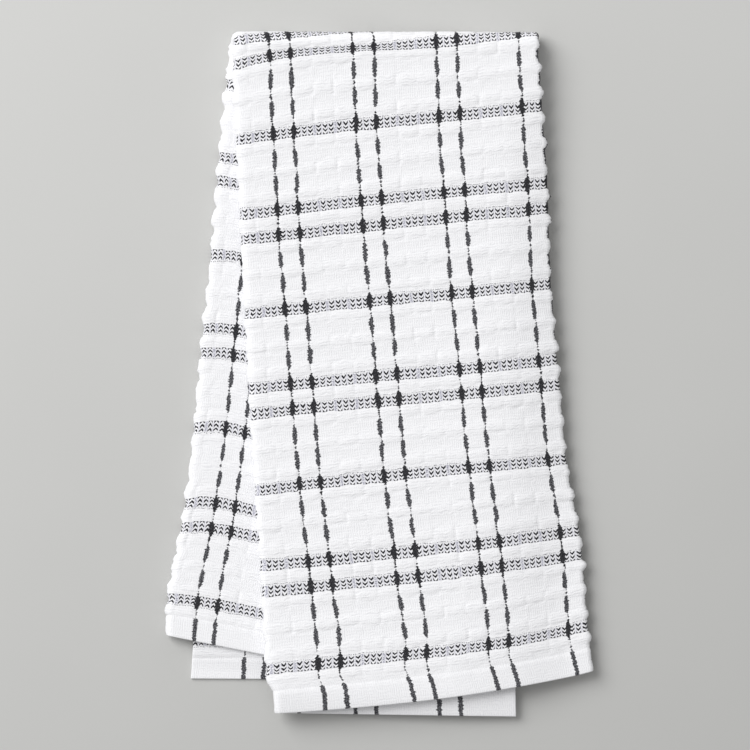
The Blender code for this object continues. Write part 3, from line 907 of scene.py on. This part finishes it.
def make_cloth():
    """The towel as one closed sheet: a fair side in a front and a back part, each fine where it shows, and a
    coarser reverse side, zipped to each other along the rims."""
    sheet = Sheet()
    back_fold = LEFT_FOLD_ACROSS[-1][1]
    front_columns = columns_with(FRONT_FINE_FROM, CLOTH_WIDTH)
    back_columns = columns_with(back_fold - STRIP_WIDTH, LEFT_FOLD_FINE_TO)
    reverse_columns = columns_with(REVERSE_FINE_FROM, LEFT_FOLD_FINE_TO)
    front_rows = rows_with(FRONT_ROW_SHARES, 0.0, TURN_TO)
    back_rows = rows_with(BACK_ROW_SHARES, TURN_TO, CLOTH_LENGTH)
    reverse_front = rows_with(REVERSE_ROW_SHARES, 0.0, TURN_FROM)
    reverse_back = rows_with(REVERSE_ROW_SHARES, TURN_TO, CLOTH_LENGTH)
    reverse_turn = spaced(reverse_front[-1], reverse_back[0], TURN_SPACING)
    reverse_rows = np.concatenate((reverse_front, reverse_turn, reverse_back))

    front = sheet.add_grid(fair_side(front_columns, front_rows), False)
    back = sheet.add_grid(fair_side(back_columns, back_rows), False)
    reverse = sheet.add_grid(reverse_side(reverse_columns, reverse_rows), True)

    sheet.zip_lines(front[-1], front_columns, back[0], back_columns)
    sheet.zip_lines(reverse[0], reverse_columns, front[0], front_columns)
    sheet.zip_lines(back[-1], back_columns, reverse[-1], reverse_columns)
    fair_rows = np.concatenate((front_rows, back_rows))
    sheet.zip_lines(np.concatenate((front[:, 0], back[:, 0])), fair_rows, reverse[:, 0], reverse_rows)
    sheet.zip_lines(reverse[:, -1], reverse_rows, np.concatenate((front[:, -1], back[:, -1])), fair_rows)

    cloth = bpy.data.objects.new("folded_towel", sheet.mesh("folded_towel"))
    bpy.context.scene.collection.objects.link(cloth)
    return cloth


def linear(hex_colour):
    """Linear RGBA of an sRGB hex colour, by the standard curve: a straight foot and a power above it."""
    parts = np.array([int(hex_colour[i : i + 2], 16) / 255 for i in (1, 3, 5)])
    low = parts / 12.92
    high = ((parts + 0.055) / 1.055) ** 2.4
    return (*np.where(parts <= 0.04045, low, high).tolist(), 1.0)


def add(tree, kind, inputs=(), **settings):
    """Adds a node with its settings, and sets or links its inputs, given in order or by name."""
    made = tree.nodes.new(kind)
    for name, value in settings.items():
        setattr(made, name, value)
    for key, value in inputs.items() if isinstance(inputs, dict) else enumerate(inputs):
        if isinstance(value, bpy.types.NodeSocket):
            tree.links.new(value, made.inputs[key])
        else:
            made.inputs[key].default_value = value
    return made.outputs[0]


def flat_millimetres(tree):
    """The place in the flat cloth in millimetres, and the places across and along it that its yarns wander
    to: the same with a soft noise about 0 added."""
    flat = add(tree, "ShaderNodeUVMap", uv_map="flat_cloth")
    place = add(tree, VECTOR, (flat, 3 * (MILLIMETRES,)), operation="MULTIPLY")
    wander = add(tree, NOISE, {"Vector": place, "Scale": WANDERS_PER_MM, "Detail": 1.0}, **IN_PLANE)
    wander = add(tree, VECTOR, (wander.node.outputs["Color"], 3 * (0.5,)), operation="SUBTRACT")
    wander = add(tree, VECTOR, (wander, WANDER_SIZE), operation="MULTIPLY")
    moved = add(tree, VECTOR, (place, wander), operation="ADD")
    across = add(tree, "ShaderNodeSeparateXYZ", (moved,))
    return place, across, across.node.outputs["Y"]


def weave_rows(tree, along):
    """Row number, distance from the row's line, and 1 on the rows that carry a band and 0 on dashed rows."""
    rows = add(tree, MATH, (along, FIRST_ROW_MM), operation="SUBTRACT")
    rows = add(tree, MATH, (rows, ROW_PITCH_MM), operation="DIVIDE")
    row = add(tree, MATH, (rows,), operation="ROUND")
    off = add(tree, MATH, (rows, row), operation="SUBTRACT")
    off = add(tree, MATH, (off, ROW_PITCH_MM), operation="MULTIPLY")
    in_check = add(tree, MATH, (row, ROWS_IN_CHECK), operation="FLOORED_MODULO")
    single = add(tree, MATH, (in_check, SINGLE_BAND, ROW_MATCH), operation="COMPARE")
    pair = add(tree, MATH, (in_check, BAND_PAIR, PAIR_MATCH), operation="COMPARE")
    banded = add(tree, MATH, (single, pair), operation="MAXIMUM")
    return row, off, banded


def stripe_distance(tree, across):
    """Distance from the nearest dark stripe, and its number. The two stripes of a pair stand a module apart,
    and the pairs repeat every four modules."""
    from_first = add(tree, MATH, (across, FIRST_STRIPE_MM), operation="SUBTRACT")
    from_pair = add(tree, MATH, (from_first, 0.5 * MODULE_MM), operation="SUBTRACT")
    from_pair = add(tree, MATH, (from_pair, 0.5 * REPEAT_MM, -0.5 * REPEAT_MM), operation="WRAP")
    from_pair = add(tree, MATH, (from_pair,), operation="ABSOLUTE")
    from_stripe = add(tree, MATH, (from_pair, 0.5 * MODULE_MM), operation="SUBTRACT")
    from_stripe = add(tree, MATH, (from_stripe,), operation="ABSOLUTE")
    stripe = add(tree, MATH, (from_first, MODULE_MM), operation="DIVIDE")
    return from_stripe, add(tree, MATH, (stripe,), operation="ROUND")


def tapered(tree, off, half_length, power):
    """1 in the middle of a stretch of yarn and 0 past its ends: one less a power of the share of its half
    length that the distance off its middle takes."""
    share = add(tree, MATH, (off, half_length), operation="DIVIDE")
    share = add(tree, MATH, (share, power), operation="POWER")
    return add(tree, MATH, (1.0, share), operation="SUBTRACT", use_clamp=True)


def stripe_half_width(tree, place, stripe, row, off, banded):
    """Half the width of a stripe in the weave: blunt dashes, each with its own length and place, diamond
    crossings on the banded rows, and a thin broken line that joins them."""
    cell = add(tree, "ShaderNodeCombineXYZ", (stripe, row))
    chances = add(tree, RANDOM, {"Vector": cell}, **IN_PLANE)
    chances = add(tree, "ShaderNodeSeparateColor", (chances.node.outputs["Color"],))
    shift = add(tree, MAP, (chances, 0.0, 1.0, -DASH_SHIFT, DASH_SHIFT))
    dash_off = add(tree, MATH, (off, shift), operation="ADD")
    dash_off = add(tree, MATH, (dash_off,), operation="ABSOLUTE")
    reach = add(tree, MAP, (chances.node.outputs["Green"], 0.0, 1.0, DASH_SHORTEST, DASH_LONGEST))
    dash = tapered(tree, dash_off, reach, DASH_TAPER)
    dash = add(tree, MATH, (dash,), operation="SQRT")
    dash = add(tree, MATH, (dash, DASH_HALF_WIDTH), operation="MULTIPLY")
    woven = add(tree, MATH, (row, 0.5 * LAST_ROW, 0.5 * LAST_ROW + ROW_MATCH), operation="COMPARE")
    dash = add(tree, MATH, (dash, woven), operation="MULTIPLY")
    crossing = add(tree, MATH, (off,), operation="ABSOLUTE")
    crossing = tapered(tree, crossing, CROSSING_HALF_LENGTH, CROSSING_TAPER)
    crossing = add(tree, MATH, (crossing, CROSSING_HALF_WIDTH), operation="MULTIPLY")
    width = add(tree, MIX, {"Factor": banded, "A": dash, "B": crossing})
    breaks = add(tree, VECTOR, (place, THIN_BREAKS), operation="MULTIPLY")
    breaks = add(tree, NOISE, {"Vector": breaks, "Scale": 1.0, "Detail": 1.0}, **IN_PLANE)
    thin = add(tree, MAP, (breaks, *THIN_NOISE, *THIN_HALF_WIDTHS))
    return add(tree, MATH, (width, thin), operation="MAXIMUM")


def stripe_mask(tree, place, across, row, off, banded, in_hem):
    """1 on the dark warp stripes, which are whole in the hems. Noise roughens their edges, where yarns turn
    under."""
    from_stripe, stripe = stripe_distance(tree, across)
    width = stripe_half_width(tree, place, stripe, row, off, banded)
    width = add(tree, MIX, {"Factor": in_hem, "A": width, "B": HEM_STRIPE_HALF_WIDTH})
    picks = add(tree, VECTOR, (place, STRIPE_PICKS), operation="MULTIPLY")
    rough = add(tree, NOISE, {"Vector": picks, "Scale": ROUGH_PER_MM, "Detail": 2.0}, **IN_PLANE)
    rough = add(tree, MAP, (rough, 0.0, 1.0, *STRIPE_ROUGHNESS))
    edge = add(tree, MATH, (width, from_stripe), operation="SUBTRACT")
    edge = add(tree, MATH, (edge, rough), operation="ADD")
    return add(tree, MAP, (edge, *STRIPE_EDGE), **SMOOTH)


def chevron_masks(tree, place, from_middle, off):
    """1 on the chevrons' strokes, and 1 in their cups. The chevrons stand side by side in two rows and a
    cut-off third, and point to the front hem."""
    chevron = add(tree, MATH, (from_middle, 0.5 * CHEVRON_STEP, -0.5 * CHEVRON_STEP), operation="WRAP")
    chevron = add(tree, MATH, (chevron,), operation="ABSOLUTE")
    lifted = add(tree, MATH, (chevron, CHEVRON_SLOPE), operation="MULTIPLY")
    above_tip = add(tree, MATH, (off, lifted), operation="SUBTRACT")
    above_tip = add(tree, MATH, (above_tip, CHEVRON_TIP), operation="SUBTRACT")
    stroke = add(tree, MATH, (above_tip, 0.5 * CHEVRON_ROW, -0.5 * CHEVRON_ROW), operation="WRAP")
    stroke = add(tree, MATH, (stroke,), operation="ABSOLUTE")
    rough = add(tree, NOISE, {"Vector": place, "Scale": ROUGH_PER_MM, "Detail": 1.0}, **IN_PLANE)
    rough = add(tree, MAP, (rough, 0.0, 1.0, -BAND_ROUGHNESS, BAND_ROUGHNESS))
    stroke = add(tree, MATH, (stroke, rough), operation="ADD")
    stroke = add(tree, MAP, (stroke, *STROKE_EDGE), **SMOOTH)
    arms = add(tree, MAP, (chevron, *ARM_EDGE), **SMOOTH)
    strokes = add(tree, MATH, (stroke, arms), operation="MULTIPLY")
    over_cup = add(tree, MATH, (above_tip, CHEVRON_CUP), operation="SUBTRACT")
    over_cup = add(tree, MATH, (over_cup, 0.5 * CHEVRON_ROW, -0.5 * CHEVRON_ROW), operation="WRAP")
    under_edge = add(tree, MAP, (over_cup, *CUP_EDGE), **SMOOTH)
    between_sides = add(tree, MAP, (chevron, *CUP_SIDES), **SMOOTH)
    return strokes, add(tree, MATH, (under_edge, between_sides), operation="MULTIPLY")


def band_masks(tree, place, across, off, banded):
    """The weft bands: 1 on their dark chevrons, the strength of their specks and of the dotted line above
    them, and the tint of their ground. Each module holds a group of three chevrons, and the ground is tinted
    most in the gap between groups and least in the chevrons' cups."""
    in_module = add(tree, MATH, (across, FIRST_STRIPE_MM), operation="SUBTRACT")
    in_module = add(tree, MATH, (in_module, MODULE_MM, 0.0), operation="WRAP")
    from_middle = add(tree, MATH, (in_module, 0.5 * MODULE_MM), operation="SUBTRACT")
    strokes, cups = chevron_masks(tree, place, from_middle, off)
    from_middle = add(tree, MATH, (from_middle,), operation="ABSOLUTE")
    grouped = add(tree, MAP, (from_middle, *GROUP_EDGE), **SMOOTH)
    below_top = add(tree, MAP, (off, *TOP_EDGE), **SMOOTH)
    above_foot = add(tree, MAP, (off, *FOOT_EDGE), **SMOOTH)
    ground = add(tree, MATH, (below_top, above_foot), operation="MULTIPLY")
    ground = add(tree, MATH, (ground, banded), operation="MULTIPLY")
    chevrons = add(tree, MATH, (strokes, grouped), operation="MULTIPLY")
    chevrons = add(tree, MATH, (chevrons, ground), operation="MULTIPLY")

    speckle = add(tree, NOISE, {"Vector": place, "Scale": SPECKS_PER_MM, "Detail": 1.0}, **IN_PLANE)
    cups = add(tree, MATH, (cups, grouped), operation="MULTIPLY")
    tint = add(tree, MATH, (1.0, cups), operation="SUBTRACT")
    by_group = add(tree, MAP, (grouped, 0.0, 1.0, 1.0, TINT_IN_GROUP))
    clouds = add(tree, MAP, (speckle, *TINT_CLOUDS), **SMOOTH)
    for share in (ground, by_group, clouds, TINT_STRENGTH):
        tint = add(tree, MATH, (tint, share), operation="MULTIPLY")

    dotted = add(tree, MAP, (speckle, *DOT_EDGE), **SMOOTH)
    gaps = add(tree, MATH, (1.0, grouped), operation="SUBTRACT")
    for share in (ground, dotted, SPECK_STRENGTH):
        gaps = add(tree, MATH, (gaps, share), operation="MULTIPLY")
    dots = add(tree, MATH, (off, BAND_DOTS, DOT_HALF_WIDTH), operation="COMPARE")
    for share in (banded, dotted):
        dots = add(tree, MATH, (dots, share), operation="MULTIPLY")
    specks = add(tree, MATH, (dots, DOT_STRENGTH, gaps), operation="MULTIPLY_ADD")
    return chevrons, specks, tint


def yarn_heights(tree, place):
    """Heights of the yarns over the cloth, from 0 to 1, and the fine grain in them. Weft cords show most in
    the puffs, and come and go in patches. Warp ribs show most in the flat rows and hems, and between those
    patches. Both are sines bent by noise, drawn at the size of the cords that the eye sees, because single
    threads are finer than the picture shows."""
    parts = add(tree, "ShaderNodeSeparateXYZ", (place,))
    bend = add(tree, NOISE, {"Vector": place, "Scale": BENDS_PER_MM, "Detail": 2.0}, **IN_PLANE)
    bend = add(tree, MAP, (bend, 0.0, 1.0, -YARN_BEND, YARN_BEND))
    patches = add(tree, VECTOR, (place, CORD_PATCHES), operation="MULTIPLY")
    patches = add(tree, NOISE, {"Vector": patches, "Scale": 1.0, "Detail": 1.0}, **IN_PLANE)
    patches = add(tree, MAP, (patches, *PATCH_EDGE), **SMOOTH)
    cords = add(tree, MATH, (parts.node.outputs["Y"], 2 * np.pi / CORD_STEP, bend), operation="MULTIPLY_ADD")
    cords = add(tree, MATH, (cords,), operation="SINE")
    cords = add(tree, MATH, (cords, patches), operation="MULTIPLY")
    ribs = add(tree, MATH, (parts, 2 * np.pi / RIB_STEP, bend), operation="MULTIPLY_ADD")
    ribs = add(tree, MATH, (ribs,), operation="SINE")
    between_patches = add(tree, MAP, (patches, 0.0, 1.0, *RIB_STRENGTHS))
    ribs = add(tree, MATH, (ribs, between_patches), operation="MULTIPLY")
    puff = add(tree, "ShaderNodeAttribute", attribute_name="puff").node.outputs["Fac"]
    weft = add(tree, MAP, (puff, 0.0, 1.0, *WEFT_SHARES))
    yarns = add(tree, MIX, {"Factor": weft, "A": ribs, "B": cords})
    yarns = add(tree, MAP, (yarns, -1.0, 1.0))
    grain = add(tree, NOISE, {"Vector": place, "Scale": GRAIN_PER_MM, "Detail": 3.0}, **IN_PLANE)
    return add(tree, MIX, {"Factor": GRAIN_SHARE, "A": yarns, "B": grain}), grain


def new_material(name, surface_settings):
    """A material with the settings of its surface, its node tree and its shader."""
    material = bpy.data.materials.new(name)
    material.use_nodes = True
    surface = material.node_tree.nodes["Principled BSDF"]
    for setting, value in surface_settings.items():
        surface.inputs[setting].default_value = value
    return material, material.node_tree, surface


def woven_cotton():
    """Cotton towelling, woven in white with black and grey yarns, washed and matt. The eye sees a soft,
    slightly fuzzy white with faint cords and painted shade in the grooves between the yarns, and dark yarns
    that look mottled where white ones cross them."""
    material, tree, surface = new_material("woven_cotton_towelling", COTTON)
    place, across, along = flat_millimetres(tree)
    row, off, banded = weave_rows(tree, along)
    from_middle = add(tree, MATH, (along, 0.5 * LENGTH_MM), operation="SUBTRACT")
    from_middle = add(tree, MATH, (from_middle,), operation="ABSOLUTE")
    in_hem = add(tree, MAP, (from_middle, *HEM_EDGE), **SMOOTH)
    stripes = stripe_mask(tree, place, across, row, off, banded, in_hem)
    chevrons, specks, tint = band_masks(tree, place, across, off, banded)
    heights, grain = yarn_heights(tree, place)

    # painted shade: the white darkens in the grooves between the yarns' tops, where shade falls
    unshaded_tops = add(tree, MAP, (heights, *GROOVE_SHADE_EDGE), **SMOOTH)
    colour = add(tree, MIX_COLOUR, (unshaded_tops, linear(GROOVE_SHADE_WHITE), linear(TOP_WHITE)))
    for mask, yarn in ((tint, BAND_GROUND), (specks, BAND_SPECKS), (chevrons, CHEVRON_BLACK)):
        colour = add(tree, MIX_COLOUR, (mask, colour, linear(yarn)))
    mottle = add(tree, MAP, (grain, *MOTTLE_EDGE), **SMOOTH)
    dash = add(tree, MIX_COLOUR, (mottle, linear(DASH_BLACK), linear(DASH_GREY)))
    at_crossing = add(tree, MATH, (banded, CROSSING_DARKNESS), operation="MULTIPLY")
    dash = add(tree, MIX_COLOUR, (at_crossing, dash, linear(CROSSING_BLACK)))
    colour = add(tree, MIX_COLOUR, (stripes, colour, dash))
    tree.links.new(colour, surface.inputs["Base Color"])
    tree.links.new(add(tree, "ShaderNodeBump", {"Height": heights, **YARN_BUMP}), surface.inputs["Normal"])
    return material


def painted_board():
    """A board painted in matt pale grey, rolled on smooth. The eye sees a very faintly uneven grey, with
    painted light towards the soft box at the upper left and painted shade a little deeper towards the lower
    right."""
    material, tree, surface = new_material("matt_painted_board", PAINT)
    place = add(tree, "ShaderNodeTexCoord").node.outputs["Object"]
    # painted light: the board's tone grows lighter towards the soft box and darker away from it
    painted_falloff = add(tree, VECTOR, (place, BOARD_PAINTED_LIGHT_DIRECTION), operation="DOT_PRODUCT").node.outputs["Value"]
    painted_falloff = add(tree, MAP, (painted_falloff, -BOARD_PAINTED_FALLOFF, BOARD_PAINTED_FALLOFF))
    clouds = add(tree, NOISE, {"Vector": place, "Scale": CLOUDS_PER_M, "Detail": 3.0})
    clouds = add(tree, MAP, (clouds, 0.0, 1.0, -BOARD_CLOUDS, BOARD_CLOUDS))
    painted_light_and_clouds = add(tree, MATH, (painted_falloff, clouds), operation="ADD", use_clamp=True)
    tone = add(tree, MIX_COLOUR, (painted_light_and_clouds, linear(BOARD_SHADE_AND_CLOUD_GREY), linear(BOARD_LIT_AND_CLOUD_GREY)))
    tree.links.new(tone, surface.inputs["Base Color"])
    return material


def make_floor():
    """A flat square of board with its top at z = 0, far wider than the towel."""
    half = 0.5 * FLOOR_WIDTH
    corners = [(-half, -half, 0.0), (half, -half, 0.0), (half, half, 0.0), (-half, half, 0.0)]
    mesh = bpy.data.meshes.new("floor")
    mesh.from_pydata(corners, [], [(0, 1, 2, 3)])
    floor = bpy.data.objects.new("floor", mesh)
    floor.data.materials.append(painted_board())
    bpy.context.scene.collection.objects.link(floor)


def light_studio():
    """A large square soft box at the upper left, facing the towel, and an even pale room."""
    light = bpy.data.lights.new("soft_box", "AREA")
    light.size = KEY_SIZE
    light.energy = KEY_POWER
    lamp = bpy.data.objects.new("soft_box", light)
    lamp.location = KEY_PLACE
    lamp.rotation_euler = (-KEY_PLACE).to_track_quat("-Z", "Y").to_euler()
    bpy.context.scene.collection.objects.link(lamp)
    world = bpy.data.worlds.new("studio")
    world.use_nodes = True
    room = world.node_tree.nodes["Background"]
    room.inputs["Color"].default_value = linear(ROOM_TONE)
    room.inputs["Strength"].default_value = ROOM_STRENGTH
    bpy.context.scene.world = world
    bpy.context.scene.view_settings.view_transform = "Standard"


def add_camera():
    """A long lens straight above the towel, so that it shows almost no perspective."""
    lens = bpy.data.cameras.new("camera")
    lens.lens = LENS
    lens.sensor_width = SENSOR
    camera = bpy.data.objects.new("camera", lens)
    camera.location = (VIEW_CENTRE[0], VIEW_CENTRE[1], VIEW_LEVEL + VIEW_WIDTH * LENS / SENSOR)
    bpy.context.scene.collection.objects.link(camera)
    bpy.context.scene.camera = camera


cloth = make_cloth()
cloth.data.materials.append(woven_cotton())
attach(cloth, "root")
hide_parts("towel_cloth")

make_floor()
light_studio()
add_camera()
